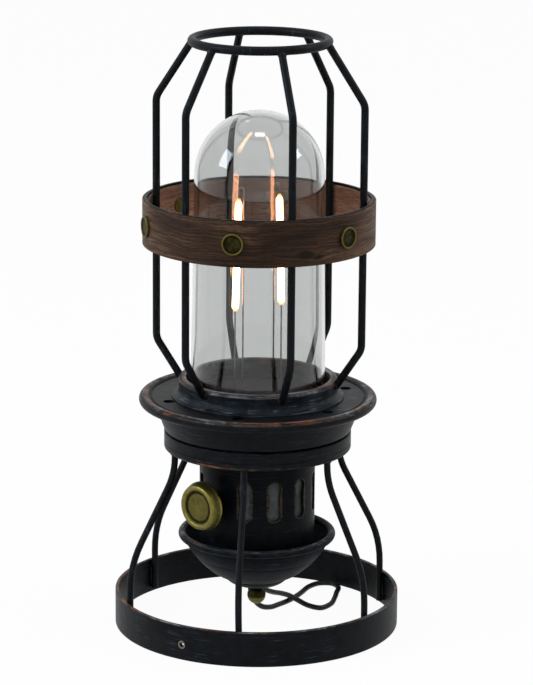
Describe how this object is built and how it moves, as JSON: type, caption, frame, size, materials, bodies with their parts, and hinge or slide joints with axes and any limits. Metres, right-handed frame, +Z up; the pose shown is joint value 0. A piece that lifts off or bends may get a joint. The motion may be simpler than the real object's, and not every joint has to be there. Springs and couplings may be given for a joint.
{
  "type": "lantern table lamp",
  "caption": "Lantern table lamp: wire cage with a studded wooden hoop round a glass dome with lit filaments, on a spun dish, slotted burner tube, bent legs and a base ring.",
  "frame": {"origin": "on the table, under the middle of the base ring", "axes": "+Z up along the lamp's axis, the knob on the -Y side"},
  "size_m": [0.225, 0.2424, 0.3966],
  "materials": {
    "antiqued_iron": "satin charcoal paint with rubbed copper edges",
    "antique_brass": "antiqued olive brass, satin",
    "zinc_steel": "zinc plated",
    "grey_sheet": "dull mill finish",
    "dark_moulding": "moulded, matte",
    "white_moulding": "moulded, matte",
    "black_rubber": "matte",
    "cord_sheath": "smooth vinyl sheath",
    "clear_glass": "clear, glossy",
    "lit_filament": "glowing warm white",
    "filament_wire": "drawn wire",
    "walnut_wood": "dark stained walnut grain, satin",
    "lining_wood": "pinkish brown wood, satin"
  },
  "bodies": {
    "root": {"base_ring": "antiqued_iron", "hole_eyelet": "antique_brass", "leg_1": "antiqued_iron", "leg_2": "antiqued_iron", "leg_3": "antiqued_iron", "leg_4": "antiqued_iron", "leg_5": "antiqued_iron", "leg_6": "antiqued_iron", "drum": "antiqued_iron", "burner_tube": "antiqued_iron", "inner_sleeve": "grey_sheet", "drip_bowl": "antiqued_iron", "center_rod": "zinc_steel", "rod_nut": "zinc_steel", "finial_ball": "antique_brass", "dimmer_body": "dark_moulding", "dimmer_nut": "zinc_steel", "dish": "antiqued_iron", "dish_screws": "zinc_steel", "led_driver": "white_moulding", "gallery": "antiqued_iron", "lamp_plate": "antiqued_iron", "glass_gasket": "black_rubber", "glass_dome": "clear_glass", "filament_left": "lit_filament", "filament_right": "lit_filament", "filament_frame_left": "filament_wire", "filament_frame_right": "filament_wire", "cage_bar_1": "antiqued_iron", "cage_bar_2": "antiqued_iron", "cage_bar_3": "antiqued_iron", "cage_bar_4": "antiqued_iron", "cage_bar_5": "antiqued_iron", "cage_bar_6": "antiqued_iron", "cage_top_ring": "antiqued_iron", "band_hoop": "antiqued_iron", "band_wrap": "walnut_wood", "band_lining": "lining_wood", "band_studs": "antique_brass", "stud_backs": "antique_brass", "cord_bush": "black_rubber", "cord_inner": "cord_sheath", "strain_relief": "black_rubber", "cord_lead": "cord_sheath", "cord_coil": "cord_sheath", "coil_tie": "black_rubber", "cord_tail": "cord_sheath", "plug_body": "dark_moulding", "plug_blades": "zinc_steel"},
    "knob": {"knob": "antique_brass", "knob_shaft": "zinc_steel"}
  },
  "joints": [
    {"name": "knob_turn", "type": "hinge", "parent": "root", "child": "knob", "pos_m": [0, -0.05, 0.0915], "axis": [0, 1, 0], "range_deg": [0, 270]}
  ]
}
